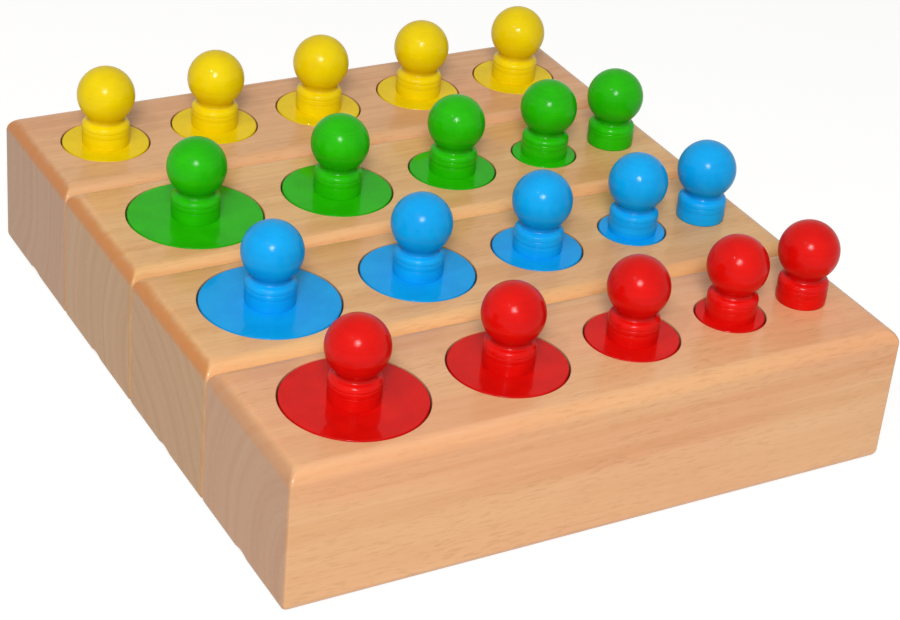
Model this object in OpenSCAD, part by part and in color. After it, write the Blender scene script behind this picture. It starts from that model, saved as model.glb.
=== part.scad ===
// Set of four knobbed cylinder blocks, a sorting toy of turned and painted beech.
// Every block carries a row of knobbed plugs that sit flush in blind sockets.
// The red plugs change in width, the blue ones in width and height, the green ones in width
// while their height runs the other way, and the yellow ones in height only.
// Millimetres, +Z up. X runs along the blocks and Y across the set, from the red block in front
// to the yellow one at the back. The origin is on the ground under the middle of the set.

/* [Blocks] */
// Length of every block
block_l = 216; // [190:1:280]
// Width of every block
block_w = 58.5; // [50:0.5:80]
// Wood left between the deepest socket and the ground
floor_t = 9; // [5:0.5:20]
// Gap between two blocks that stand side by side
block_gap = 0.4; // [0.3:0.1:20]
// Radius of the edges round the top
edge_r = 5; // [1:0.5:6]
// Radius of the edges round the underside
foot_r = 3; // [1:0.5:6]
// Radius of the upright edges
corner_r = 1; // [0.5:0.5:6]
// Width of the cove along the underside
cove_w = 13; // [8:1:30]
// Depth of the cove along the underside
cove_d = 3; // [1:0.5:4]

/* [Sockets] */
// Number of sockets in a block
plug_count = 5; // [3:1:5]
// Gap all round between a plug and the wall of its socket
socket_clear = 0.45; // [0.2:0.05:1]
// Broken edge at the mouth of a socket
mouth_c = 0.5; // [0.2:0.1:1]
// Wood between the end of a graded block and its first or last plug
end_web = 12; // [6:0.5:20]
// Wood between two plugs of a graded block
plug_web = 11; // [5:0.5:20]
// Wood between the two narrowest plugs of a graded block
last_web = 9; // [4:0.5:20]

/* [Plugs] */
// Diameter of the widest plug
plug_d_max = 45; // [30:0.5:48]
// Diameter of the narrowest plug
plug_d_min = 15; // [13:0.5:30]
// Diameter of every plug in the row that changes in height only
plug_d_even = 30; // [15:0.5:38]
// Height of the tallest plug
plug_h_max = 40; // [20:0.5:60]
// Height of the shortest plug
plug_h_min = 10; // [9:0.5:40]
// Broken edge round the top of a plug
plug_top_c = 0.5; // [0.2:0.1:1]
// Lead-in round the bottom of a plug
plug_foot_c = 1; // [0.5:0.1:2]

/* [Knobs] */
// Diameter of the ball
ball_d = 20; // [17:0.5:26]
// Diameter of the neck under the ball
neck_d = 12.6; // [11:0.1:14]
// Height of the neck between the shoulder and the ball
neck_h = 1.7; // [0.8:0.1:3]
// Diameter of the collar
collar_d = 16.5; // [15:0.1:20]
// Height of the wide band at the foot of the collar
band_h = 4.2; // [2:0.1:8]
// Height of the bead above the band
bead_h = 2.4; // [1.2:0.1:4]
// Depth of the turned lines above and below the bead
line_d = 0.3; // [0.2:0.05:0.5]
// Radius of the round shoulder above the bead
shoulder_r = 1.8; // [1:0.1:2.5]
// Diameter of the tenon that is glued into the plug
tenon_d = 8; // [5:0.5:10]
// Length of the tenon
tenon_l = 7; // [4:0.5:8]
// Broken edge at the end of the tenon
tenon_c = 0.5; // [0.2:0.1:1]
// Glue gap all round the tenon
glue_clear = 0.1; // [0.05:0.05:0.3]
// Glue space under the tenon
glue_well = 0.5; // [0.2:0.1:1]

/* [Hidden] */
$fn = 96;
// Length by which a cut runs past the face it opens
over = 1;
wood = [0.86, 0.66, 0.45];

row_names = ["red", "blue", "green", "yellow"];
row_paints = [[0.82, 0.08, 0.06], [0.10, 0.55, 0.88], [0.18, 0.62, 0.08], [0.93, 0.78, 0.05]];
rows = [0 : len(row_names) - 1];
plugs = [0 : plug_count - 1];

function sum(list, n) = n <= 0 ? 0 : list[n - 1] + sum(list, n - 1);
function graded(from, to) = [for (i = plugs) from + i * (to - from) / (plug_count - 1)];
function even(size) = [for (i = plugs) size];

// Plug sizes, row by row
widths_down = graded(plug_d_max, plug_d_min);
heights_down = graded(plug_h_max, plug_h_min);
heights_up = graded(plug_h_min, plug_h_max);
plug_d = [widths_down, widths_down, widths_down, even(plug_d_even)];
plug_h = [even(plug_h_max), heights_down, heights_up, heights_down];

// Wood left along a row: at one end, between the plugs and at the other end.
// These gaps share out the length that the plugs leave.
inner_webs = [for (i = [2 : plug_count - 1]) plug_web];
graded_webs = concat([end_web], inner_webs, [last_web, end_web]);
even_webs = [for (i = [0 : plug_count]) 1];
webs = [graded_webs, graded_webs, graded_webs, even_webs];

block_h = plug_h_max + floor_t;
row_pitch = block_w + block_gap;
cove_r = (pow(cove_w / 2, 2) + pow(cove_d, 2)) / (2 * cove_d);

function web_scale(row) =
    (block_l - sum(plug_d[row], plug_count)) / sum(webs[row], plug_count + 1);
function row_y(row) = (row - (len(row_names) - 1) / 2) * row_pitch;
function plug_x(row, i) =
    -block_l / 2 + web_scale(row) * sum(webs[row], i + 1) + sum(plug_d[row], i) + plug_d[row][i] / 2;

// Levels of the knob, from its seat on the plug
shoulder_z = band_h + bead_h;
neck_z = shoulder_z + shoulder_r;
ball_z = neck_z + neck_h + sqrt(pow(ball_d / 2, 2) - pow(neck_d / 2, 2));
knob_h = ball_z + ball_d / 2;
collar_r = collar_d / 2;
shoulder_x = collar_r - line_d - shoulder_r;

function block_name(row) = str(row_names[row], "_block");
function plug_name(row, i) = str(row_names[row], "_plug_", i + 1);
function knob_name(row, i) = str(row_names[row], "_knob_", i + 1);

// Upright outline of the bar across a given width, with round corners at its top and its foot
module bar_outline(width) {
    translate([-width / 2, foot_r])
        square([width, block_h - edge_r - foot_r]);
    translate([foot_r - width / 2, 0])
        square([width - 2 * foot_r, block_h - edge_r]);
    translate([edge_r - width / 2, foot_r])
        square([width - 2 * edge_r, block_h - foot_r]);
    for (side = [-1, 1]) {
        translate([side * (width / 2 - foot_r), foot_r])
            circle(foot_r);
        translate([side * (width / 2 - edge_r), block_h - edge_r])
            circle(edge_r);
    }
}

// Bar with its edges rounded: two crossed profiles without their corners, and a round post at each corner
module round_bar() {
    reach = [block_l / 2 - corner_r, block_w / 2 - corner_r];
    past = 2 * over;
    intersection() {
        rotate([90, 0, 90])
            linear_extrude(block_l + past, center = true)
                bar_outline(block_w);
        rotate([90, 0, 0])
            linear_extrude(block_w + past, center = true)
                bar_outline(block_l);
        translate([0, 0, -over])
            linear_extrude(block_h + past) {
                square([2 * reach.x, block_w + past], center = true);
                square([block_l + past, 2 * reach.y], center = true);
            }
    }
    for (x = [-1, 1], y = [-1, 1])
        translate([x * reach.x, y * reach.y])
            rotate_extrude()
                intersection() {
                    translate([-reach.y, 0])
                        bar_outline(block_w);
                    square([corner_r, block_h]);
                }
}

// Space of a blind socket, from its flat floor at the origin up past the broken edge of its mouth
module socket(d, h) {
    r = d / 2 + socket_clear;
    rotate_extrude()
        polygon([
            [0, 0],
            [r, 0],
            [r, h - mouth_c],
            [r + mouth_c + over, h + over],
            [0, h + over]
        ]);
}

module block(row) {
    color(wood)
        translate([0, row_y(row), 0])
            difference() {
                round_bar();
                translate([0, 0, cove_d - cove_r])
                    rotate([0, 90, 0])
                        cylinder(h = block_l + 2 * over, r = cove_r, center = true);
                for (i = plugs)
                    translate([plug_x(row, i), 0, block_h - plug_h[row][i]])
                        socket(plug_d[row][i], plug_h[row][i]);
            }
}

// Plug standing on the floor of its socket, with the blind hole for the knob's tenon
module plug(row, i) {
    r = plug_d[row][i] / 2;
    h = plug_h[row][i];
    hole_r = tenon_d / 2 + glue_clear;
    hole_z = h - tenon_l - glue_well;
    color(row_paints[row])
        translate([plug_x(row, i), row_y(row), block_h - h])
            rotate_extrude()
                polygon([
                    [0, 0],
                    [r - plug_foot_c, 0],
                    [r, plug_foot_c],
                    [r, h - plug_top_c],
                    [r - plug_top_c, h],
                    [hole_r, h],
                    [hole_r, hole_z],
                    [0, hole_z]
                ]);
}

// Stretch of the collar that bulges over its height by the depth of a turned line
module collar_bulge(z, h) {
    r = (pow(h / 2, 2) + pow(line_d, 2)) / (2 * line_d);
    intersection() {
        translate([collar_r - r, z + h / 2])
            circle(r);
        translate([0, z])
            square([collar_r, h]);
    }
}

// Half outline of the knob about its axis: tenon, collar and neck below the ball
module knob_outline() {
    polygon([
        [0, -tenon_l],
        [tenon_d / 2 - tenon_c, -tenon_l],
        [tenon_d / 2, tenon_c - tenon_l],
        [tenon_d / 2, 0],
        [collar_r - line_d, 0],
        [collar_r - line_d, shoulder_z],
        [neck_d / 2, shoulder_z],
        [neck_d / 2, ball_z],
        [0, ball_z]
    ]);
    collar_bulge(0, band_h);
    collar_bulge(band_h, bead_h);
    intersection() {
        translate([shoulder_x, shoulder_z])
            circle(shoulder_r);
        translate([0, shoulder_z])
            square([collar_r, shoulder_r]);
    }
    intersection() {
        translate([0, ball_z])
            circle(d = ball_d);
        translate([0, neck_z])
            square([ball_d, knob_h]);
    }
}

// Knob seated on top of its plug
module knob(row, i) {
    color(row_paints[row])
        translate([plug_x(row, i), row_y(row), block_h])
            rotate_extrude()
                knob_outline();
}

for (row = rows) {
    block(row);
    for (i = plugs) {
        plug(row, i);
        knob(row, i);
    }
}
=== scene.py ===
"""Looks of a set of four knobbed cylinder blocks.

Varnished beech bars stand side by side, and each holds five turned, enamelled cylinders in blind
sockets. Every piece is modelled at the size and place of its part in the frame, in metres, and
rides on the body of that part.
"""

import logging
import math
from collections.abc import Sequence
from dataclasses import dataclass
from enum import Enum

import bmesh
import bpy
from mathutils import Matrix, Vector, noise


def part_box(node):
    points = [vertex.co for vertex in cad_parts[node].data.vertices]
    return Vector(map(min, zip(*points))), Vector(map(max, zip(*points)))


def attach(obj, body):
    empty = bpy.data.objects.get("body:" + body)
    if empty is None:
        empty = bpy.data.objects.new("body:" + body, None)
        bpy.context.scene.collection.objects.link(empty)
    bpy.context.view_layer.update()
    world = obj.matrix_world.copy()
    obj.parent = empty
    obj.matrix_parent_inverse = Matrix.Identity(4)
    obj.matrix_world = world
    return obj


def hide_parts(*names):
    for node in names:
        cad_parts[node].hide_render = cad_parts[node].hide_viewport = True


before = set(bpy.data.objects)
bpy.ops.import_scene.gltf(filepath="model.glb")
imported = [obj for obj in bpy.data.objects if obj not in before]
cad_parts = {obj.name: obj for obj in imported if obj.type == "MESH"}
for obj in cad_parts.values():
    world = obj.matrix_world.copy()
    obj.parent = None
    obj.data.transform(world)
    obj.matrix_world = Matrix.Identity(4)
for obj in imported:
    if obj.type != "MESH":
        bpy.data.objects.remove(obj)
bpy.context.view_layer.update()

LOG = logging.getLogger("cylinder_blocks")

MM = 0.001
# What turns a place in metres into one in millimetres
PER_MM = (1 / MM,) * 3
QUARTER = math.pi / 2
PLUGS_IN_A_ROW = 5
# How far apart the seeds of two rows lie, and those of a plug and its knob
ROW_SEEDS = 10.0
KNOB_SEED = 0.5
# Names of the numbers that a mesh carries for its finish
RELIEF = "relief"
PIECE_SEED = "piece_seed"
# Relief of a worn edge and of a deep groove
EDGE = 1.0
GROOVE = -1.0

Colour = tuple[float, float, float]
Socket = bpy.types.NodeSocket
Feed = Socket | float | Sequence[float]


class Row(Enum):
    """The four bars, from the front of the set to its back."""

    RED = "red"
    BLUE = "blue"
    GREEN = "green"
    YELLOW = "yellow"


class SocketKind(Enum):
    """What a socket of a node group carries."""

    VALUE = "NodeSocketFloat"
    COLOUR = "NodeSocketColor"
    PLACE = "NodeSocketVector"


class Side(Enum):
    """The two sides of a node group that a socket can stand on."""

    INPUT = "INPUT"
    OUTPUT = "OUTPUT"


def srgb(*parts: int) -> Colour:
    """Turn a screen colour into the linear one that a shader takes.

    Args:
        *parts: Red, green and blue, from 0 to 255.

    Returns:
        The same colour in linear light, each part from 0 to 1.
    """
    shares = (part / 255 for part in parts)
    return tuple(s / 12.92 if s <= 0.04045 else ((s + 0.055) / 1.055) ** 2.4 for s in shares)


@dataclass(frozen=True)
class NoiseField:
    """Shape of a noise field, whose values lie about a middle."""

    # Grains per unit of place along each axis
    grains: tuple[float, float, float]
    # Number that sets the field apart from the others of its finish
    shift: float = 0.0
    # Number of finer layers, and their strength
    detail: float = 2.0
    rough: float = 0.5
    # Values at which its effect starts and is full
    reach: tuple[float, float] = (0.0, 1.0)

    MIDDLE = 0.5


class Graph:
    """A node tree with short calls for the nodes that the finishes use."""

    # Sockets of a mix node that hold its two colours and its result
    FIRST_COLOUR = 6
    SECOND_COLOUR = 7
    MIXED_COLOUR = 2

    def __init__(self, tree: bpy.types.NodeTree) -> None:
        """Take over a tree and empty it."""
        self.tree = tree
        self.tree.nodes.clear()

    def node(self, kind: str, **settings: object) -> bpy.types.Node:
        """Add a node.

        Args:
            kind: Blender's name for the node.
            **settings: Values for the node's own properties.

        Returns:
            The new node.
        """
        made = self.tree.nodes.new(kind)
        for name, value in settings.items():
            setattr(made, name, value)
        return made

    def feed(self, socket: Socket, value: Feed) -> None:
        """Link a socket to another one, or set its number or colour.

        Args:
            socket: The input to fill.
            value: Another socket, a number, a place or a colour.
        """
        if isinstance(value, bpy.types.NodeSocket):
            self.tree.links.new(value, socket)
        elif socket.type == "RGBA":
            socket.default_value = (*value, 1.0)
        else:
            socket.default_value = value

    def math(self, operation: str, *values: Feed, clamp: bool = False) -> Socket:
        """Work out one number from up to three others.

        Args:
            operation: Blender's name for the sum.
            *values: Sockets or numbers, in order.
            clamp: Whether the result is kept between 0 and 1.

        Returns:
            The socket that holds the result.
        """
        made = self.node("ShaderNodeMath", operation=operation, use_clamp=clamp)
        for socket, value in zip(made.inputs, values):
            self.feed(socket, value)
        return made.outputs[0]

    def vector(self, operation: str, *values: Feed) -> Socket:
        """Work out one place from others, or the length of one.

        Args:
            operation: Blender's name for the sum.
            *values: Sockets, places or numbers, in order.

        Returns:
            The socket that holds the result.
        """
        made = self.node("ShaderNodeVectorMath", operation=operation)
        for socket, value in zip(made.inputs, values):
            self.feed(socket, value)
        return made.outputs["Value" if operation == "LENGTH" else "Vector"]

    def split(self, place: Feed) -> tuple[Socket, Socket, Socket]:
        """Give the three parts of a place.

        Args:
            place: The place.

        Returns:
            The sockets that hold its parts.
        """
        made = self.node("ShaderNodeSeparateXYZ")
        self.feed(made.inputs[0], place)
        return made.outputs[0], made.outputs[1], made.outputs[2]

    def join(self, x: Feed, y: Feed, z: Feed) -> Socket:
        """Make a place from its three parts.

        Args:
            x: Its part along the first axis.
            y: Its part along the second.
            z: Its part along the third.

        Returns:
            The socket that holds the place.
        """
        made = self.node("ShaderNodeCombineXYZ")
        for socket, value in zip(made.inputs, (x, y, z)):
            self.feed(socket, value)
        return made.outputs[0]

    def noise(self, field: NoiseField, place: Feed, seed: Feed) -> Socket:
        """Add a noise field.

        Args:
            field: The field's shape.
            place: Where it is read.
            seed: A number that picks another field of the same shape.

        Returns:
            The socket that holds the field's value, about 0 to 1.
        """
        made = self.node("ShaderNodeTexNoise", noise_dimensions="4D")
        self.feed(made.inputs["Vector"], self.vector("MULTIPLY", place, field.grains))
        self.feed(made.inputs["W"], self.math("ADD", seed, field.shift))
        self.feed(made.inputs["Scale"], 1.0)
        self.feed(made.inputs["Detail"], field.detail)
        self.feed(made.inputs["Roughness"], field.rough)
        return made.outputs[0]

    def remap(self, value: Feed, low: Feed, high: Feed, start: Feed = 0.0, end: Feed = 1.0) -> Socket:
        """Turn a stretch of values smoothly into another one.

        Args:
            value: What is turned.
            low: Value at the start of the stretch.
            high: Value at its end.
            start: Result at the start.
            end: Result at the end.

        Returns:
            The socket that holds the result, kept between the two ends.
        """
        made = self.node("ShaderNodeMapRange", interpolation_type="SMOOTHSTEP")
        for socket, number in zip(made.inputs, (value, low, high, start, end)):
            self.feed(socket, number)
        return made.outputs[0]

    def blend(self, share: Feed, first: Feed, second: Feed, mode: str = "MIX") -> Socket:
        """Mix two colours.

        Args:
            share: How much of the second colour is taken, from 0 to 1.
            first: Colour at 0.
            second: Colour at 1.
            mode: Blender's name for the way of mixing.

        Returns:
            The socket that holds the mixed colour.
        """
        made = self.node("ShaderNodeMix", data_type="RGBA", blend_type=mode)
        self.feed(made.inputs[0], share)
        self.feed(made.inputs[self.FIRST_COLOUR], first)
        self.feed(made.inputs[self.SECOND_COLOUR], second)
        return made.outputs[self.MIXED_COLOUR]

    def attribute(self, name: str) -> Socket:
        """Read a number that the mesh carries."""
        return self.node("ShaderNodeAttribute", attribute_name=name).outputs["Fac"]

    def bump(self, height: Feed, strength: float, depth: float) -> Socket:
        """Turn a height into a normal.

        Args:
            height: The height field, from 0 to 1.
            strength: Share of the effect.
            depth: Real depth of the field, in metres.

        Returns:
            The socket that holds the normal.
        """
        made = self.node("ShaderNodeBump")
        self.feed(made.inputs["Strength"], strength)
        self.feed(made.inputs["Distance"], depth)
        self.feed(made.inputs["Height"], height)
        return made.outputs[0]

    def seen_rays(self) -> Socket:
        """Tell what the eye sees, also in a mirror or through glass, from scattered light.

        Returns:
            The socket that holds 1 for the eye and 0 for scattered light.
        """
        path = self.node("ShaderNodeLightPath").outputs
        seen = self.math("ADD", path["Is Camera Ray"], path["Is Glossy Ray"], clamp=True)
        return self.math("ADD", seen, path["Is Transmission Ray"], clamp=True)

    def place_group(self, group: bpy.types.NodeTree, **values: Feed) -> bpy.types.Node:
        """Put a node group into this tree.

        Args:
            group: The shared group.
            **values: What feeds its inputs, with a space in a name written as an underscore.

        Returns:
            The group's node.
        """
        made = self.node("ShaderNodeGroup", node_tree=group)
        for name, value in values.items():
            self.feed(made.inputs[name.replace("_", " ")], value)
        return made


class SharedEffect:
    """A shader node group that several finishes place with their own values."""

    NAME = ""
    INPUTS: dict[str, SocketKind] = {}
    OUTPUTS: dict[str, SocketKind] = {}

    def __init__(self) -> None:
        """Build the group with its named sockets."""
        self.tree = bpy.data.node_groups.new(self.NAME, "ShaderNodeTree")
        for side, sockets in ((Side.INPUT, self.INPUTS), (Side.OUTPUT, self.OUTPUTS)):
            for name, kind in sockets.items():
                self.tree.interface.new_socket(name, in_out=side.value, socket_type=kind.value)
        graph = Graph(self.tree)
        given = graph.node("NodeGroupInput").outputs
        results = graph.node("NodeGroupOutput").inputs
        for name, value in self.draw(graph, given).items():
            graph.feed(results[name], value)

    def draw(self, graph: Graph, given: bpy.types.NodeOutputs) -> dict[str, Socket]:
        """Lay out the nodes of the effect.

        Args:
            graph: The group's own tree.
            given: The group's inputs by name.

        Returns:
            What feeds each output.
        """
        raise NotImplementedError


class BeechGrain(SharedEffect):
    """Solid beech: soft rings about a pith, fibres and wavy flecks, cut by whatever face shows them."""

    NAME = "beech_grain"
    INPUTS = {
        "Place": SocketKind.PLACE,
        "Normal": SocketKind.PLACE,
        "Pith": SocketKind.PLACE,
        "Seed": SocketKind.VALUE,
        "Pale": SocketKind.COLOUR,
        "Deep": SocketKind.COLOUR,
        "Blush": SocketKind.COLOUR,
        "Fleck": SocketKind.COLOUR,
        "End": SocketKind.COLOUR,
    }
    OUTPUTS = {"Color": SocketKind.COLOUR, "Roughness": SocketKind.VALUE, "Height": SocketKind.VALUE}

    # Noise fields, in grains per millimetre along the bar, across it and up it
    DRIFT = NoiseField((0.009, 0.028, 0.028))
    BAND = NoiseField((0.007, 0.06, 0.06), shift=3.0, reach=(0.32, 0.68))
    CLOUD = NoiseField((0.012, 0.035, 0.035), shift=6.0, reach=(0.4, 0.64))
    FIBRE = NoiseField((0.03, 1.2, 1.2), detail=4.0, rough=0.6)
    SWAY = NoiseField((0.07, 0.1, 0.1), shift=9.0, detail=1.0)
    RIPPLE = NoiseField((0.2, 1.3, 1.3), shift=12.0, rough=0.55, reach=(0.48, 0.7))
    PATCH = NoiseField((0.014, 0.06, 0.06), shift=15.0, reach=(0.35, 0.65))
    # The same away from the pith and along the bar
    RING = NoiseField((0.26, 0.003, 0.0), detail=3.0, rough=0.6, reach=(0.3, 0.7))
    # How far the rings drift and the flecks sway, in millimetres of wood
    RING_DRIFT = 7.0
    FLECK_SWAY = 2.4
    # How much rings, bands and fibres deepen the colour
    RING_DEPTH = 0.45
    BAND_DEPTH = 0.3
    FIBRE_DEPTH = 0.55
    # Strength of the flecks between their patches and in them, and how much of their colour shows
    FLECK_STRENGTH = (0.35, 1.0)
    FLECK_SHARE = 0.3
    # Share of a normal that lies along the bar where end grain starts and where it is full
    END_REACH = (0.15, 0.8)
    # Depth of its colour between the rings and in them, and what the fibres' cut ends add
    END_DEPTH = (0.25, 0.65)
    PORE_DEPTH = 0.5
    # Roughness under the varnish, and what fibres and end grain add
    ROUGHNESS = 0.3
    FIBRE_ROUGHNESS = 0.16
    END_ROUGHNESS = 0.16
    # Height of a fleck beside that of the fibres
    FLECK_HEIGHT = -0.4

    def draw(self, graph: Graph, given: bpy.types.NodeOutputs) -> dict[str, Socket]:
        """Lay out rings, fibres, flecks and end grain, and mix the colour from them.

        Args:
            graph: The group's own tree.
            given: The group's inputs by name.

        Returns:
            What feeds each output.
        """
        seed = given["Seed"]
        place = graph.vector("MULTIPLY", given["Place"], PER_MM)
        along, across, above = graph.split(place)
        _, aside, away = graph.split(graph.vector("SUBTRACT", place, given["Pith"]))

        radius = graph.vector("LENGTH", graph.join(0.0, aside, away))
        radius = graph.math("MULTIPLY_ADD", graph.noise(self.DRIFT, place, seed), self.RING_DRIFT, radius)
        ring = graph.noise(self.RING, graph.join(radius, along, 0.0), seed)
        band = graph.remap(graph.noise(self.BAND, place, seed), *self.BAND.reach)
        cloud = graph.remap(graph.noise(self.CLOUD, place, seed), *self.CLOUD.reach)
        fibre = graph.noise(self.FIBRE, place, seed)
        fibre_pull = graph.math("SUBTRACT", fibre, NoiseField.MIDDLE)

        sway = graph.noise(self.SWAY, place, seed)
        swayed = graph.join(
            along,
            graph.math("MULTIPLY_ADD", sway, self.FLECK_SWAY, across),
            graph.math("MULTIPLY_ADD", sway, self.FLECK_SWAY, above),
        )
        fleck = graph.remap(graph.noise(self.RIPPLE, swayed, seed), *self.RIPPLE.reach)
        patch = graph.noise(self.PATCH, place, seed)
        strength = graph.remap(patch, *self.PATCH.reach, *self.FLECK_STRENGTH)
        fleck = graph.math("MULTIPLY", fleck, strength)

        depth = graph.remap(ring, *self.RING.reach, 0.0, self.RING_DEPTH)
        depth = graph.math("MULTIPLY_ADD", band, self.BAND_DEPTH, depth)
        depth = graph.math("MULTIPLY_ADD", fibre_pull, self.FIBRE_DEPTH, depth, clamp=True)
        colour = graph.blend(depth, given["Pale"], given["Deep"])
        blushing = graph.blend(1.0, colour, given["Blush"], "MULTIPLY")
        colour = graph.blend(cloud, colour, blushing)
        colour = graph.blend(graph.math("MULTIPLY", fleck, self.FLECK_SHARE), colour, given["Fleck"])

        facing = graph.math("ABSOLUTE", graph.split(given["Normal"])[0])
        end_face = graph.remap(facing, *self.END_REACH)
        pores = graph.remap(ring, *self.RING.reach, *self.END_DEPTH)
        pores = graph.math("MULTIPLY_ADD", fibre_pull, self.PORE_DEPTH, pores)
        end_colour = graph.blend(pores, given["Pale"], given["Deep"])
        # The End tone darkens end grain as it is, and adds a painted blue-grey reflection of the sky
        end_colour = graph.blend(1.0, end_colour, given["End"], "MULTIPLY")
        colour = graph.blend(end_face, colour, end_colour)

        rough = graph.math("MULTIPLY_ADD", fibre, self.FIBRE_ROUGHNESS, self.ROUGHNESS)
        rough = graph.math("MULTIPLY_ADD", end_face, self.END_ROUGHNESS, rough)
        height = graph.math("MULTIPLY_ADD", fleck, self.FLECK_HEIGHT, fibre)
        return {"Color": colour, "Roughness": rough, "Height": height}


class WornEdgesAndShade(SharedEffect):
    """Another tone along rounded edges, broken up by noise, and a darker tone of painted shade where the
    relief is hollow.
    """

    NAME = "worn_edges_and_shade"
    INPUTS = {
        "Place": SocketKind.PLACE,
        "Seed": SocketKind.VALUE,
        "Relief": SocketKind.VALUE,
        "Color": SocketKind.COLOUR,
        "Edge": SocketKind.COLOUR,
        "Edge Share": SocketKind.VALUE,
        "Groove": SocketKind.COLOUR,
        "Groove Share": SocketKind.VALUE,
    }
    OUTPUTS = {"Color": SocketKind.COLOUR}

    # Noise that breaks the edges up, in grains per metre, and how far it moves them
    BREAKS = NoiseField((420.0, 420.0, 420.0), detail=3.0)
    MOVE = 0.7
    # Relief at which an edge starts and is full: once moved by the noise, and at the least
    EDGE_REACH = (0.3, 0.95)
    LEAST_EDGE = (0.0, 0.12)
    # The same for a groove, whose darker tone is painted shade
    GROOVE_REACH = (-0.1, -0.9)

    def draw(self, graph: Graph, given: bpy.types.NodeOutputs) -> dict[str, Socket]:
        """Mix the edge and groove tones over the colour that comes in.

        Args:
            graph: The group's own tree.
            given: The group's inputs by name.

        Returns:
            What feeds each output.
        """
        relief = given["Relief"]
        broken = graph.noise(self.BREAKS, given["Place"], given["Seed"])
        move = graph.math("MULTIPLY_ADD", broken, self.MOVE, -self.MOVE * NoiseField.MIDDLE)
        edge = graph.remap(graph.math("ADD", relief, move), *self.EDGE_REACH)
        edge = graph.math("MULTIPLY", edge, graph.remap(relief, *self.LEAST_EDGE))
        edge = graph.math("MULTIPLY", edge, given["Edge Share"])
        # The groove tone is painted shade
        groove = graph.remap(relief, *self.GROOVE_REACH)
        groove = graph.math("MULTIPLY", groove, given["Groove Share"])
        colour = graph.blend(edge, given["Color"], given["Edge"])
        return {"Color": graph.blend(groove, colour, given["Groove"])}


class TurnedFilm(SharedEffect):
    """A film of paint on turned wood: tool rings, grain that shows through, and a soft mottle."""

    NAME = "turned_film"
    INPUTS = {
        "Place": SocketKind.PLACE,
        "Seed": SocketKind.VALUE,
        "Color": SocketKind.COLOUR,
        "Thick": SocketKind.COLOUR,
    }
    OUTPUTS = {"Color": SocketKind.COLOUR, "Roughness": SocketKind.VALUE, "Height": SocketKind.VALUE}

    # Noise fields, in grains per millimetre
    GRAIN = NoiseField((0.9, 0.9, 0.06), detail=3.0)
    PEEL = NoiseField((0.75, 0.75, 0.75), shift=5.0, detail=1.0)
    MOTTLE = NoiseField((0.14, 0.14, 0.14), shift=9.0, detail=3.0, reach=(0.3, 0.7))
    SMEAR = NoiseField((0.08, 0.3, 0.2), shift=13.0, detail=3.0, reach=(0.35, 0.72))
    # The same away from the axis and along it
    TOOL = NoiseField((1.6, 1.6, 0.0), reach=(0.35, 0.7))
    # How much mottle and tool rings thicken the film
    MOTTLE_DEPTH = 0.7
    TOOL_DEPTH = 0.3
    # Roughness of the film where it is clean and where it is smeared
    ROUGHNESS = (0.3, 0.42)
    # Heights of tool rings and grain beside that of the peel
    TOOL_HEIGHT = 0.45
    GRAIN_HEIGHT = 0.35

    def draw(self, graph: Graph, given: bpy.types.NodeOutputs) -> dict[str, Socket]:
        """Mix the colour of the film, its gloss and its height.

        Args:
            graph: The group's own tree.
            given: The group's inputs by name.

        Returns:
            What feeds each output.
        """
        seed = given["Seed"]
        place = graph.vector("MULTIPLY", given["Place"], PER_MM)
        x, y, z = graph.split(place)
        radius = graph.vector("LENGTH", graph.join(x, y, 0.0))
        tool = graph.noise(self.TOOL, graph.join(radius, z, 0.0), seed)
        grain = graph.noise(self.GRAIN, place, seed)
        peel = graph.noise(self.PEEL, place, seed)
        mottle = graph.remap(graph.noise(self.MOTTLE, place, seed), *self.MOTTLE.reach)
        smear = graph.noise(self.SMEAR, place, seed)

        rings = graph.remap(tool, *self.TOOL.reach)
        depth = graph.math("MULTIPLY", mottle, self.MOTTLE_DEPTH)
        depth = graph.math("MULTIPLY_ADD", rings, self.TOOL_DEPTH, depth, clamp=True)
        colour = graph.blend(depth, given["Color"], given["Thick"])
        rough = graph.remap(smear, *self.SMEAR.reach, *self.ROUGHNESS)
        height = graph.math("MULTIPLY_ADD", tool, self.TOOL_HEIGHT, peel)
        height = graph.math("MULTIPLY_ADD", grain, self.GRAIN_HEIGHT, height)
        return {"Color": colour, "Roughness": rough, "Height": height}


@dataclass(frozen=True)
class Effects:
    """The node groups that the finishes share."""

    beech_grain: BeechGrain
    worn_edges_and_shade: WornEdgesAndShade
    turned_film: TurnedFilm


class Finish:
    """A procedural material with one principled shader."""

    def __init__(self, name: str) -> None:
        """Make an empty material with its shader and output.

        Args:
            name: Name of the material.
        """
        self.material = bpy.data.materials.new(name)
        self.material.use_nodes = True
        self.graph = Graph(self.material.node_tree)
        self.shader = self.graph.node("ShaderNodeBsdfPrincipled")
        output = self.graph.node("ShaderNodeOutputMaterial")
        self.graph.feed(output.inputs["Surface"], self.shader.outputs[0])

    def set(self, **values: Feed) -> None:
        """Fill the shader's sockets, with a space in a name written as an underscore."""
        for name, value in values.items():
            self.graph.feed(self.shader.inputs[name.replace("_", " ")], value)

    def object_place(self) -> Socket:
        """Give the place on the piece, measured from its own origin."""
        return self.graph.node("ShaderNodeTexCoord").outputs["Object"]


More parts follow.
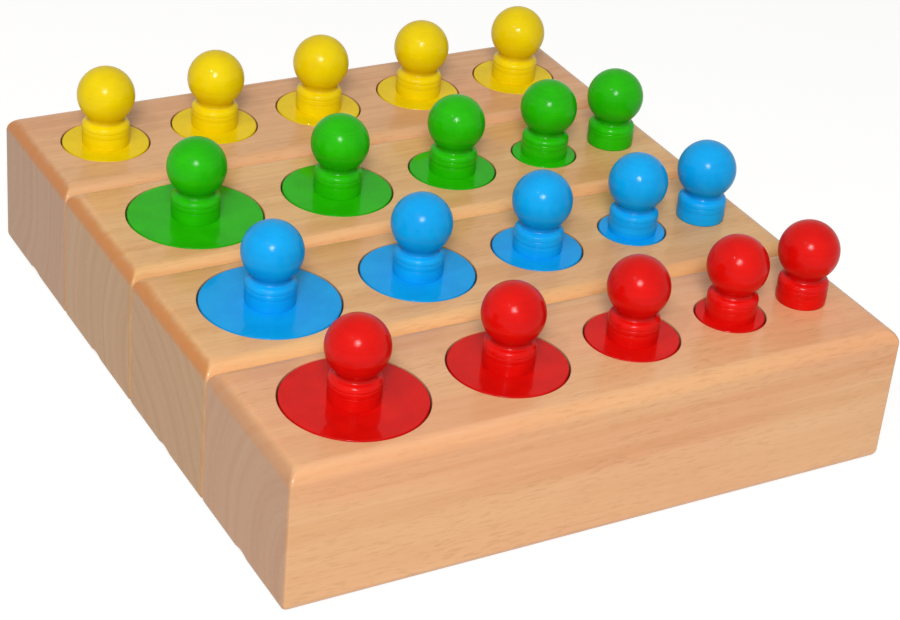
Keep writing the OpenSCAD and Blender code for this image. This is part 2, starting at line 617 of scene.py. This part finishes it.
@dataclass(frozen=True)
class Beech:
    """Varnished beech of one bar, cut from its own place in the log."""

    name: str
    # A point of the log's middle, in millimetres from the middle of the bar's foot
    pith: tuple[float, float, float]
    seed: float
    pale: Colour
    deep: Colour
    edge_share: float = 0.75
    blush: Colour = (1.0, 0.92, 0.94)
    fleck: Colour = srgb(186, 130, 84)
    # End-grain tone: the end grain's own darker colour, with a blue-grey cast that is a painted
    # reflection of the sky
    end: Colour = (0.7, 0.705, 0.8)
    edge: Colour = srgb(204, 124, 54)
    # Darker tone in the sockets' floor corner, scored ring and drill point: painted shade
    socket_floor_shade: Colour = srgb(150, 96, 56)

    def material(self, effects: Effects) -> bpy.types.Material:
        """Build the material.

        Args:
            effects: The shared node groups.

        Returns:
            The finished material.
        """
        finish = Finish(self.name)
        graph = finish.graph
        place = finish.object_place()
        grain = graph.place_group(
            effects.beech_grain.tree,
            Place=place,
            Normal=graph.node("ShaderNodeNewGeometry").outputs["Normal"],
            Pith=self.pith,
            Seed=self.seed,
            Pale=self.pale,
            Deep=self.deep,
            Blush=self.blush,
            Fleck=self.fleck,
            End=self.end,
        )
        edges = graph.place_group(
            effects.worn_edges_and_shade.tree,
            Place=place,
            Seed=self.seed,
            Relief=graph.attribute(RELIEF),
            Color=grain.outputs["Color"],
            Edge=self.edge,
            Edge_Share=self.edge_share,
            # The groove tone is painted shade in the socket floors
            Groove=self.socket_floor_shade,
            Groove_Share=0.5,
        )
        finish.set(
            Base_Color=edges.outputs["Color"],
            Roughness=grain.outputs["Roughness"],
            Normal=graph.bump(grain.outputs["Height"], strength=0.25, depth=0.12 * MM),
            IOR=1.45,
            Specular_IOR_Level=0.2,
            Coat_Weight=0.35,
            Coat_Roughness=0.1,
            Coat_IOR=1.45,
        )
        return finish.material


@dataclass(frozen=True)
class Enamel:
    """Glossy enamel of one row of cylinders."""

    name: str
    colour: Colour
    thick: Colour
    thin: Colour
    # Darker tone that the enamel takes in the knob's neck and round the plug's top: painted shade at
    # both, with pooled enamel in the neck
    pooled_paint_and_shade: Colour

    def material(self, effects: Effects) -> bpy.types.Material:
        """Build the material.

        Args:
            effects: The shared node groups.

        Returns:
            The finished material.
        """
        finish = Finish(self.name)
        graph = finish.graph
        place = finish.object_place()
        seed = graph.attribute(PIECE_SEED)
        film = graph.place_group(
            effects.turned_film.tree, Place=place, Seed=seed, Color=self.colour, Thick=self.thick
        )
        edges = graph.place_group(
            effects.worn_edges_and_shade.tree,
            Place=place,
            Seed=seed,
            Relief=graph.attribute(RELIEF),
            Color=film.outputs["Color"],
            Edge=self.thin,
            Edge_Share=0.25,
            # The groove tone is painted shade round the plug's top and in the knob's neck
            Groove=self.pooled_paint_and_shade,
            Groove_Share=0.6,
        )
        finish.set(
            Base_Color=edges.outputs["Color"],
            Roughness=film.outputs["Roughness"],
            Normal=graph.bump(film.outputs["Height"], strength=0.12, depth=0.05 * MM),
            IOR=1.42,
            Specular_IOR_Level=0.04,
            Coat_Weight=0.25,
            Coat_Roughness=0.06,
            Coat_IOR=1.42,
        )
        return finish.material


BEECH = {
    Row.RED: Beech(
        "front_bar_beech",
        pith=(0.0, -52.0, 10.0),
        seed=2.3,
        pale=srgb(236, 186, 139),
        deep=srgb(219, 158, 107),
        edge_share=0.2,
    ),
    Row.BLUE: Beech(
        "second_bar_beech",
        pith=(0.0, 60.0, -38.0),
        seed=5.7,
        pale=srgb(234, 186, 130),
        deep=srgb(210, 150, 90),
    ),
    Row.GREEN: Beech(
        "third_bar_beech",
        pith=(0.0, -64.0, 20.0),
        seed=8.9,
        pale=srgb(235, 188, 132),
        deep=srgb(211, 152, 91),
    ),
    Row.YELLOW: Beech(
        "back_bar_beech",
        pith=(0.0, 62.0, 36.0),
        seed=11.4,
        pale=srgb(230, 181, 134),
        deep=srgb(205, 148, 101),
    ),
}

ENAMEL = {
    Row.RED: Enamel(
        "red_gloss", srgb(221, 16, 9), srgb(204, 10, 7), srgb(224, 44, 32), srgb(150, 5, 6)
    ),
    Row.BLUE: Enamel(
        "blue_gloss", srgb(11, 168, 239), srgb(7, 154, 229), srgb(48, 177, 240), srgb(4, 100, 178)
    ),
    Row.GREEN: Enamel(
        "green_gloss", srgb(40, 188, 3), srgb(31, 172, 2), srgb(68, 195, 30), srgb(15, 118, 2)
    ),
    Row.YELLOW: Enamel(
        "yellow_gloss", srgb(239, 211, 4), srgb(229, 197, 2), srgb(242, 216, 40), srgb(188, 148, 2)
    ),
}


@dataclass(frozen=True)
class TurnPoint:
    """One point of a turned outline, with the relief that its finish shows there."""

    radius: float
    height: float
    relief: float = 0.0


class Outline:
    """Half outline of a turned piece, drawn from the foot of its axis to the top."""

    ARC_STEP = math.radians(6)

    def __init__(self, radius: float, height: float) -> None:
        """Start the outline at a point."""
        self.points = [TurnPoint(radius, height)]

    def line(self, radius: float, height: float, relief: float = 0.0) -> None:
        """Draw a straight stretch.

        Args:
            radius: Distance of its end from the axis.
            height: Height of its end.
            relief: Relief at its end, from that of a groove to that of an edge.
        """
        self.points.append(TurnPoint(radius, height, relief))

    def arc(
        self, radius: float, height: float, size: float, start: float, end: float, relief: float = 0.0
    ) -> None:
        """Draw a round stretch.

        Args:
            radius: Distance of its centre from the axis.
            height: Height of its centre.
            size: Radius of the round itself.
            start: Angle at which it starts, in degrees from straight out.
            end: Angle at which it ends.
            relief: Relief in its middle, from that of a groove to that of an edge.
        """
        first, last = math.radians(start), math.radians(end)
        steps = max(2, math.ceil(abs(last - first) / self.ARC_STEP))
        for step in range(steps + 1):
            share = step / steps
            angle = first + (last - first) * share
            self.points.append(
                TurnPoint(
                    max(0.0, radius + size * math.cos(angle)),
                    height + size * math.sin(angle),
                    relief * math.sin(math.pi * share),
                )
            )


def foot_and_size(node: str) -> tuple[Vector, Vector]:
    """Find a part in the frame.

    Args:
        node: Name of the part.

    Returns:
        The middle of its foot, and its size along each axis.
    """
    low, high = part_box(node)
    return Vector(((low.x + high.x) / 2, (low.y + high.y) / 2, low.z)), high - low


def add_object(name: str, data: bpy.types.ID) -> bpy.types.Object:
    """Put a mesh, a lamp or a camera into the scene.

    Args:
        name: Name of the object.
        data: The mesh, lamp or camera itself.

    Returns:
        The object, linked into the scene.
    """
    made = bpy.data.objects.new(name, data)
    bpy.context.scene.collection.objects.link(made)
    return made


class MeshMaker:
    """A mesh in the making, with the numbers that its finish reads."""

    # Points closer than this are one point, in metres
    MERGE = 1e-6
    # Edges sharper than this are not shaded as round
    SHARP = math.radians(38)

    def __init__(self, seed: float) -> None:
        """Start an empty mesh.

        Args:
            seed: Number that tells this piece from the others of its finish.
        """
        self.mesh = bmesh.new()
        self.relief = self.mesh.verts.layers.float.new(RELIEF)
        self.seed_layer = self.mesh.verts.layers.float.new(PIECE_SEED)
        self.seed = seed

    def point(self, place: Sequence[float], relief: float = 0.0) -> bmesh.types.BMVert:
        """Add one vertex.

        Args:
            place: Where it lies.
            relief: Its relief.

        Returns:
            The vertex.
        """
        made = self.mesh.verts.new(place)
        made[self.relief] = relief
        return made

    def ring(
        self, radius: float, height: float, centre: Vector, segments: int, relief: float = 0.0
    ) -> list[bmesh.types.BMVert]:
        """Add a level ring of vertices about an upright axis, or one vertex on the axis itself.

        Args:
            radius: Radius of the ring.
            height: Its height.
            centre: A point of the axis.
            segments: Number of vertices.
            relief: Relief along the ring.

        Returns:
            The vertices, anticlockwise from above.
        """
        if radius < self.MERGE:
            return [self.point((centre.x, centre.y, height), relief)]
        turns = (2 * math.pi * step / segments for step in range(segments))
        return [
            self.point((centre.x + radius * math.cos(a), centre.y + radius * math.sin(a), height), relief)
            for a in turns
        ]

    def bridge(self, lower: list[bmesh.types.BMVert], upper: list[bmesh.types.BMVert]) -> None:
        """Close the band between two rings, either of which may be a single vertex.

        Args:
            lower: The ring that comes first along the outline.
            upper: The ring that follows it.
        """
        count = max(len(lower), len(upper))
        if count == 1:
            return
        for step in range(count):
            following = (step + 1) % count
            band = (
                lower[step % len(lower)],
                lower[following % len(lower)],
                upper[following % len(upper)],
                upper[step % len(upper)],
            )
            self.mesh.faces.new(dict.fromkeys(band))

    def turn(self, outline: Outline, centre: Vector, segments: int) -> None:
        """Turn an outline about an upright axis.

        Args:
            outline: The outline, from its first point to its last.
            centre: A point of the axis.
            segments: Number of steps round the axis.
        """
        rings = [self.ring(p.radius, p.height, centre, segments, p.relief) for p in outline.points]
        for lower, upper in zip(rings, rings[1:]):
            self.bridge(lower, upper)

    def merge(self) -> None:
        """Make one point of those that lie on each other."""
        bmesh.ops.remove_doubles(self.mesh, verts=self.mesh.verts[:], dist=self.MERGE)

    def finish(self, name: str, place: Vector) -> bpy.types.Object:
        """Turn the mesh into an object.

        Args:
            name: Name of the piece.
            place: Where its own origin lies.

        Returns:
            The object, linked into the scene.
        """
        for vertex in self.mesh.verts:
            vertex[self.seed_layer] = self.seed
        bmesh.ops.recalc_face_normals(self.mesh, faces=self.mesh.faces[:])
        data = bpy.data.meshes.new(name)
        self.mesh.to_mesh(data)
        self.mesh.free()
        piece = add_object(name, data)
        piece.location = place
        return piece

    @classmethod
    def smooth(cls, piece: bpy.types.Object) -> None:
        """Shade a piece as round, with its flat faces kept flat.

        Args:
            piece: The modelled piece.
        """
        piece.data.shade_smooth()
        piece.data.set_sharp_from_angle(angle=cls.SHARP)
        weighted = piece.modifiers.new("flat_faces", "WEIGHTED_NORMAL")
        weighted.keep_sharp = True


def dress(piece: bpy.types.Object, material: bpy.types.Material, node: str, body: str) -> None:
    """Give a piece its finish and put it in the place of its part.

    Args:
        piece: The modelled piece.
        material: Its finish.
        node: The part that it stands for.
        body: The body that carries it.
    """
    piece.data.materials.append(material)
    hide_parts(node)
    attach(piece, body)
    LOG.info("%s: %d faces, rides on %s", piece.name, len(piece.data.polygons), body)


@dataclass
class Bar:
    """One beech bar with its blind sockets."""

    row: Row
    edge_r: float = 5.0 * MM
    foot_r: float = 3.0 * MM
    corner_r: float = 1.0 * MM
    # How much rounder the corners get for each unit that the outline draws in
    corner_wear: float = 0.3
    cove_w: float = 13.0 * MM
    cove_d: float = 3.0 * MM
    # Length of the tool that cuts the cove, for each unit of the bar's
    cove_reach: float = 1.2
    socket_clear: float = 0.45 * MM
    mouth_r: float = 0.35 * MM
    floor_r: float = 0.4 * MM
    # Ring and point that the drill leaves in the floor of a socket
    score_inset: float = 1.2 * MM
    score_d: float = 0.25 * MM
    drill_mark_r: float = 1.6 * MM
    drill_mark_d: float = 1.5 * MM
    # Depth of the hand sanding on the end edges, and the length over which it changes
    sanding: float = 0.1 * MM
    sanding_length: float = 14.0 * MM
    # Wear of the foot and of the long edges beside that of the end edges, and how low it sits
    foot_wear: float = 0.3
    long_wear: float = 0.12
    wear_skew: float = 0.6
    arc_steps: int = 10
    corner_steps: int = 10
    long_steps: int = 48
    short_steps: int = 24
    socket_segments: int = 96
    cove_segments: int = 160

    def __post_init__(self) -> None:
        """Take the bar's place and size from its part."""
        self.node = f"{self.row.value}_block"
        self.place, self.size = foot_and_size(self.node)

    def outline(self, inset: float) -> list[tuple[Vector, Vector]]:
        """Draw the level outline of the bar at some inset from its walls.

        Args:
            inset: Distance from the walls.

        Returns:
            The points and their outward directions, anticlockwise from above.
        """
        radius = self.corner_r + self.corner_wear * inset
        reach = self.size.xy / 2 - Vector((inset + radius, inset + radius))
        corners = [Vector((x * reach.x, y * reach.y)) for x, y in ((1, 1), (-1, 1), (-1, -1), (1, -1))]
        points = []
        for index, corner in enumerate(corners):
            for step in range(self.corner_steps + 1):
                angle = (index + step / self.corner_steps) * QUARTER
                outward = Vector((math.cos(angle), math.sin(angle)))
                points.append((corner + radius * outward, outward))
            start, outward = points[-1]
            end = corners[(index + 1) % len(corners)] + radius * outward
            steps = self.short_steps if index % 2 else self.long_steps
            points += [(start.lerp(end, step / steps), outward) for step in range(1, steps)]
        return points

    def levels(self) -> list[tuple[float, float, Vector, float]]:
        """List the levels of the bar from its foot to its top.

        Returns:
            The inset, height, outward direction and relief of each level.
        """
        rounds = (
            (self.foot_r, self.foot_r, -QUARTER, self.foot_wear, 1.0),
            (self.edge_r, self.size.z - self.edge_r, 0.0, EDGE, self.wear_skew),
        )
        levels = []
        for radius, middle, start, wear, skew in rounds:
            for step in range(self.arc_steps + 1):
                share = step / self.arc_steps
                tilt = start + QUARTER * share
                outward = Vector((math.cos(tilt), math.sin(tilt)))
                relief = wear * math.sin(math.pi * share**skew)
                levels.append((radius * (1 - outward.x), middle + radius * outward.y, outward, relief))
        return levels

    def add_walls(self, maker: MeshMaker) -> None:
        """Add the rounded shell, whose end edges are sanded by hand.

        Args:
            maker: The bar's mesh.
        """
        loops = []
        for inset, height, direction, relief in self.levels():
            loop = []
            for point, outward in self.outline(inset):
                spot = Vector((point.x, point.y, height)) + self.place
                waver = 0.5 + 0.5 * noise.noise(spot / self.sanding_length)
                end_wear = relief * outward.x**2
                wear = end_wear + self.long_wear * relief * outward.y**2
                cut = self.sanding * end_wear * waver
                level = point - outward * (cut * direction.x)
                loop.append(maker.point((level.x, level.y, height - cut * direction.y), wear))
            loops.append(loop)
        for lower, upper in zip(loops, loops[1:]):
            maker.bridge(lower, upper)
        maker.merge()

    def socket_outline(self, radius: float, floor: float) -> Outline:
        """Draw a blind socket from its mouth to the mark of the drill in its floor.

        Args:
            radius: Radius of the socket's wall.
            floor: Height of its floor.

        Returns:
            The outline, from the outside inwards.
        """
        top = self.size.z
        mouth = radius + self.mouth_r
        score = radius - self.score_inset
        outline = Outline(mouth, top)
        outline.arc(mouth, top - self.mouth_r, self.mouth_r, 90, 180)
        outline.line(radius, floor + self.floor_r)
        # The floor's corner, the scored ring and the drill point take groove relief, which paints shade
        # there
        outline.arc(radius - self.floor_r, floor + self.floor_r, self.floor_r, 0, -90, GROOVE)
        outline.line(score + self.score_d, floor)
        outline.line(score, floor - self.score_d, GROOVE)
        outline.line(score - self.score_d, floor)
        outline.line(self.drill_mark_r, floor)
        outline.line(0.0, floor - self.drill_mark_d, GROOVE)
        return outline

    def add_sockets(self, maker: MeshMaker) -> None:
        """Add the five sockets that hold this row's plugs.

        Args:
            maker: The bar's mesh.
        """
        for number in range(1, PLUGS_IN_A_ROW + 1):
            foot, size = foot_and_size(f"{self.row.value}_plug_{number}")
            floor = foot - self.place
            outline = self.socket_outline(size.x / 2 + self.socket_clear, floor.z)
            maker.turn(outline, floor, self.socket_segments)
        maker.merge()

    def close(self, maker: MeshMaker) -> None:
        """Fill the top round the sockets, and the underside.

        Args:
            maker: The bar's mesh.
        """
        rims = [edge for edge in maker.mesh.edges if edge.is_boundary]
        middle = self.size.z / 2
        top = [edge for edge in rims if edge.verts[0].co.z > middle]
        foot = [edge for edge in rims if edge.verts[0].co.z < middle]
        bmesh.ops.triangle_fill(maker.mesh, edges=top, use_beauty=True, normal=(0, 0, 1))
        bmesh.ops.contextual_create(maker.mesh, geom=foot)

    def cut_cove(self, piece: bpy.types.Object) -> None:
        """Cut the shallow cove along the underside.

        Args:
            piece: The bar.
        """
        radius = ((self.cove_w / 2) ** 2 + self.cove_d**2) / (2 * self.cove_d)
        cutter = bmesh.new()
        lie_down = Matrix.Rotation(QUARTER, 4, "Y")
        lie_down.translation = (0, 0, self.cove_d - radius)
        bmesh.ops.create_cone(
            cutter,
            cap_ends=True,
            segments=self.cove_segments,
            radius1=radius,
            radius2=radius,
            depth=self.size.x * self.cove_reach,
            matrix=lie_down,
        )
        data = bpy.data.meshes.new("cove_cutter")
        cutter.to_mesh(data)
        cutter.free()
        tool = add_object("cove_cutter", data)
        tool.location = piece.location
        cut = piece.modifiers.new("cove", "BOOLEAN")
        cut.operation = "DIFFERENCE"
        cut.solver = "EXACT"
        cut.object = tool
        solved = piece.evaluated_get(bpy.context.evaluated_depsgraph_get())
        piece.data = bpy.data.meshes.new_from_object(solved)
        piece.modifiers.clear()
        bpy.data.objects.remove(tool)

    def build(self, effects: Effects) -> None:
        """Model the bar and dress it.

        Args:
            effects: The shared node groups.
        """
        maker = MeshMaker(BEECH[self.row].seed)
        self.add_walls(maker)
        self.add_sockets(maker)
        self.close(maker)
        piece = maker.finish(f"{self.row.value}_bar", self.place)
        self.cut_cove(piece)
        maker.smooth(piece)
        dress(piece, BEECH[self.row].material(effects), self.node, self.node)


@dataclass
class TurnedPiece:
    """A turned and enamelled piece of one cylinder."""

    row: Row
    number: int
    segments: int = 96

    def outline(self) -> Outline:
        """Draw the piece from the foot of its axis to the top."""
        raise NotImplementedError

    def build(self, material: bpy.types.Material, body: str, slot: str, seed: float) -> None:
        """Model the piece and dress it.

        Args:
            material: The row's enamel.
            body: The body that carries the piece.
            slot: Name of the enamel's slot; not used.
            seed: Number that tells this piece from the others.
        """
        maker = MeshMaker(seed)
        maker.turn(self.outline(), Vector(), self.segments)
        maker.merge()
        piece = maker.finish(f"{self.node}_turned", self.place)
        maker.smooth(piece)
        dress(piece, material, self.node, body)


@dataclass
class Plug(TurnedPiece):
    """One turned plug, with the hole that takes its knob's tenon."""

    top_r: float = 0.4 * MM
    # Relief round the convex top, which gives it the darker enamel tone as painted shade
    top_shade_relief: float = -0.6
    foot_r: float = 1.0 * MM
    hole_r: float = 4.1 * MM
    hole_d: float = 7.5 * MM
    hole_edge: float = 0.3 * MM
    centre_mark_r: float = 1.3 * MM
    centre_mark_d: float = 0.9 * MM
    # Width of the flat strips that keep the shading of the rounds off the faces beside them
    guard: float = 0.25 * MM
    segments: int = 112

    def __post_init__(self) -> None:
        """Take the plug's place and size from its part."""
        self.node = f"{self.row.value}_plug_{self.number}"
        self.place, size = foot_and_size(self.node)
        self.radius = size.x / 2
        self.height = size.z

    def outline(self) -> Outline:
        """Draw the plug from the centre mark in its foot to the floor of the hole in its top.

        Returns:
            The outline.
        """
        wall, top, hole_floor = self.radius, self.height, self.height - self.hole_d
        outline = Outline(0.0, self.centre_mark_d)
        outline.line(self.centre_mark_r, 0.0)
        outline.line(wall - self.foot_r - self.guard, 0.0)
        outline.arc(wall - self.foot_r, self.foot_r, self.foot_r, -90, 0, EDGE)
        outline.line(wall, self.foot_r + self.guard)
        outline.line(wall, top - self.top_r - self.guard)
        outline.arc(wall - self.top_r, top - self.top_r, self.top_r, 0, 90, self.top_shade_relief)
        outline.line(wall - self.top_r - self.guard, top)
        outline.line(self.hole_r + self.hole_edge, top)
        outline.line(self.hole_r, top - self.hole_edge)
        outline.line(self.hole_r, hole_floor)
        outline.line(0.0, hole_floor)
        return outline


def touching_place(first: Vector, first_reach: float, second: Vector, second_reach: float) -> Vector:
    """Find the place at given distances from two others.

    Args:
        first: One place, as a radius and a height.
        first_reach: Distance from it.
        second: The other place.
        second_reach: Distance from that.

    Returns:
        The place on the right of the way from the first to the second.
    """
    way = second - first
    along = (first_reach**2 - second_reach**2 + way.length_squared) / (2 * way.length)
    aside = math.sqrt(first_reach**2 - along**2)
    ahead = way.normalized()
    return first + along * ahead + aside * Vector((ahead.y, -ahead.x))


@dataclass
class Knob(TurnedPiece):
    """One turned knob: a ball on a collar with a band, a bead and a round shoulder."""

    collar_r: float = 8.25 * MM
    # Heights at which the band and the bead end
    band_top: float = 4.2 * MM
    bead_top: float = 6.3 * MM
    # Rounds at the top of the bead, and at the other edges of both
    bead_edge: float = 0.75 * MM
    line_edge: float = 0.22 * MM
    # Angles to which an edge of the collar turns over and its wall leans, in degrees
    edge_turn: float = 55.0
    wall_lean: float = 8.0
    shoulder_r: float = 2.1 * MM
    shoulder_lift: float = 0.2 * MM
    neck_fillet: float = 1.25 * MM
    # Relief in the neck, which gives it the darker enamel tone: pooled enamel and painted shade
    neck_shade_relief: float = -0.8
    tenon_r: float = 4.0 * MM
    tenon_l: float = 7.0 * MM
    tenon_c: float = 0.5 * MM

    def __post_init__(self) -> None:
        """Take the knob's place, which is on its seat, and the size of its ball from its part."""
        self.node = f"{self.row.value}_knob_{self.number}"
        self.place, size = foot_and_size(self.node)
        self.place.z += self.tenon_l
        self.ball_r = size.x / 2
        self.ball_z = size.z - self.tenon_l - self.ball_r

    def outline(self) -> Outline:
        """Draw the knob from the end of its tenon to the top of its ball.

        Returns:
            The outline.
        """
        outline = Outline(0.0, -self.tenon_l)
        outline.line(self.tenon_r - self.tenon_c, -self.tenon_l)
        outline.line(self.tenon_r, self.tenon_c - self.tenon_l)
        outline.line(self.tenon_r, 0.0)
        self.add_stretch(outline, 0.0, self.band_top, self.line_edge)
        self.add_stretch(outline, self.band_top, self.bead_top, self.bead_edge)
        self.add_head(outline, self.bead_top)
        return outline

    def add_stretch(self, outline: Outline, foot: float, top: float, upper_edge: float) -> None:
        """Draw a stretch of the collar's wall, which swells a little between two turned lines.

        Args:
            outline: The knob's outline so far.
            foot: Height at which the stretch starts.
            top: Height at which it ends.
            upper_edge: Radius of its upper edge.
        """
        lower_edge = self.line_edge
        turn, lean = self.edge_turn, self.wall_lean
        slope = math.sin(math.radians(lean))
        edge_rise = math.sin(math.radians(turn)) - slope
        swell = (top - foot - (lower_edge + upper_edge) * edge_rise) / (2 * slope)
        wall = Vector((self.collar_r - swell, foot + lower_edge * edge_rise + swell * slope))
        level = math.cos(math.radians(lean))
        lower = wall + (swell - lower_edge) * Vector((level, -slope))
        upper = wall + (swell - upper_edge) * Vector((level, slope))
        outline.arc(*lower, lower_edge, -turn, -lean)
        outline.arc(*wall, swell, -lean, lean)
        outline.arc(*upper, upper_edge, lean, turn)

    def add_head(self, outline: Outline, foot: float) -> None:
        """Draw the round shoulder, the ball and the hollow that runs from one to the other.

        Args:
            outline: The knob's outline so far.
            foot: Height at which the shoulder starts.
        """
        fillet = self.neck_fillet
        shoulder = Vector((self.collar_r - self.shoulder_r, foot + self.shoulder_lift))
        ball = Vector((0.0, self.ball_z))
        hollow = touching_place(shoulder, self.shoulder_r + fillet, ball, self.ball_r + fillet)

        def slant(start: Vector, end: Vector) -> float:
            """Give the direction from one place to another, in degrees from straight out."""
            return math.degrees(math.atan2(end.y - start.y, end.x - start.x))

        under = -math.degrees(math.asin(self.shoulder_lift / self.shoulder_r))
        outline.arc(*shoulder, self.shoulder_r, under, slant(shoulder, hollow))
        outline.arc(
            *hollow, fillet, slant(shoulder, hollow) + 180, slant(hollow, ball), self.neck_shade_relief
        )
        outline.arc(*ball, self.ball_r, slant(ball, hollow), 90)


@dataclass
class CylinderRow:
    """A bar with its five knobbed cylinders."""

    row: Row
    first_seed: float

    def build(self, effects: Effects) -> None:
        """Model the bar, then each plug with its knob.

        Args:
            effects: The shared node groups.
        """
        Bar(self.row).build(effects)
        enamel = ENAMEL[self.row].material(effects)
        slot = f"{self.row.value}_enamel"
        for number in range(1, PLUGS_IN_A_ROW + 1):
            body = f"{self.row.value}_cylinder_{number}"
            seed = self.first_seed + number
            Plug(self.row, number).build(enamel, body, slot, seed)
            Knob(self.row, number).build(enamel, body, slot, seed + KNOB_SEED)


@dataclass(frozen=True)
class SoftLamp:
    """A round soft lamp that looks at the set. Angles are in degrees, sizes in metres."""

    name: str
    heading: float
    rise: float
    distance: float
    width: float
    power: float

    def build(self, target: Vector) -> None:
        """Put up the lamp.

        Args:
            target: What it looks at.
        """
        turn, rise = math.radians(self.heading), math.radians(self.rise)
        level = math.cos(rise)
        back = Vector((-math.sin(turn) * level, -math.cos(turn) * level, math.sin(rise)))
        data = bpy.data.lights.new(self.name, "AREA")
        data.shape = "DISK"
        data.size = self.width
        data.energy = self.power
        lamp = add_object(self.name, data)
        lamp.location = target + back * self.distance
        lamp.rotation_euler = (-back).to_track_quat("-Z", "Y").to_euler()
        LOG.info("%s: %.1f W at %.2f m", self.name, self.power, self.distance)


@dataclass
class Studio:
    """Camera, floor and light of the picture. Angles are in degrees."""

    # The camera stands in front of the set and to its left, and is rolled a little
    heading: float = 31.403
    fall: float = 30.859
    roll: float = 5.59
    distance: float = 778.7 * MM
    aim: tuple[float, float, float] = (-1.608 * MM, -19.512 * MM, 24.5 * MM)
    lens: float = 93.136
    sensor: float = 36.0

    floor_r: float = 6.0
    floor_drop: float = 0.02 * MM
    floor_segments: int = 128
    floor_colour: Colour = (0.55, 0.55, 0.55)
    # To the eye the floor is part lit and part white of itself, so its shadows are pale
    floor_seen: Colour = (0.42, 0.42, 0.42)
    floor_lift: float = 0.69

    # Light that comes from all round, and what the eye sees there
    sky: Colour = (0.28, 0.272, 0.24)
    sky_seen: Colour = (1.0, 0.985, 0.92)
    lamps: tuple[SoftLamp, ...] = (
        SoftLamp("key", heading=31.4, rise=40.0, distance=2.0, width=0.8, power=19.6),
        SoftLamp("flash", heading=31.4, rise=40.0, distance=1.9, width=0.36, power=10.9),
        SoftLamp("side_spark", heading=62.0, rise=52.0, distance=1.6, width=0.07, power=2.2),
    )

    def build(self) -> None:
        """Set up everything that is not part of the object."""
        self.add_camera()
        self.add_floor()
        self.add_sky()
        for lamp in self.lamps:
            lamp.build(Vector(self.aim))
        bpy.context.scene.view_settings.view_transform = "Standard"

    def add_camera(self) -> None:
        """Put up the camera at the picture's angle."""
        heading, fall, roll = (math.radians(a) for a in (self.heading, self.fall, self.roll))
        level = math.cos(fall)
        ahead = Vector((math.sin(heading) * level, math.cos(heading) * level, -math.sin(fall)))
        flat_right = Vector((math.cos(heading), -math.sin(heading), 0.0))
        flat_up = flat_right.cross(ahead)
        right = flat_right * math.cos(roll) + flat_up * math.sin(roll)
        up = flat_up * math.cos(roll) - flat_right * math.sin(roll)
        data = bpy.data.cameras.new("camera")
        data.lens = self.lens
        data.sensor_width = self.sensor
        data.sensor_fit = "HORIZONTAL"
        camera = add_object("camera", data)
        camera.matrix_world = Matrix.LocRotScale(
            Vector(self.aim) - ahead * self.distance, Matrix((right, up, -ahead)).transposed(), None
        )
        bpy.context.scene.camera = camera

    def add_floor(self) -> None:
        """Lay the plain pale floor, which is white to the eye but keeps the set's shadow."""
        maker = bmesh.new()
        bmesh.ops.create_circle(maker, cap_ends=True, segments=self.floor_segments, radius=self.floor_r)
        data = bpy.data.meshes.new("floor")
        maker.to_mesh(data)
        maker.free()
        floor = add_object("floor", data)
        floor.location.z = -self.floor_drop
        finish = Finish("pale_floor")
        seen = finish.graph.seen_rays()
        finish.set(
            Base_Color=finish.graph.blend(seen, self.floor_colour, self.floor_seen),
            Roughness=1.0,
            Specular_IOR_Level=0.0,
            Emission_Color=(1.0, 1.0, 1.0),
            Emission_Strength=finish.graph.math("MULTIPLY", seen, self.floor_lift),
        )
        data.materials.append(finish.material)

    def add_sky(self) -> None:
        """Light the set softly from all round, with a pale surround to the eye."""
        world = bpy.data.worlds.new("soft_sky")
        world.use_nodes = True
        graph = Graph(world.node_tree)
        light = graph.node("ShaderNodeBackground")
        graph.feed(light.inputs["Color"], graph.blend(graph.seen_rays(), self.sky, self.sky_seen))
        graph.feed(graph.node("ShaderNodeOutputWorld").inputs["Surface"], light.outputs[0])
        bpy.context.scene.world = world


def main() -> None:
    """Build the four rows and the studio round them."""
    logging.basicConfig(level=logging.INFO, format="%(name)s: %(message)s")
    effects = Effects(BeechGrain(), WornEdgesAndShade(), TurnedFilm())
    for index, row in enumerate(Row):
        CylinderRow(row, ROW_SEEDS * index).build(effects)
    Studio().build()


if __name__ == "__main__":
    main()
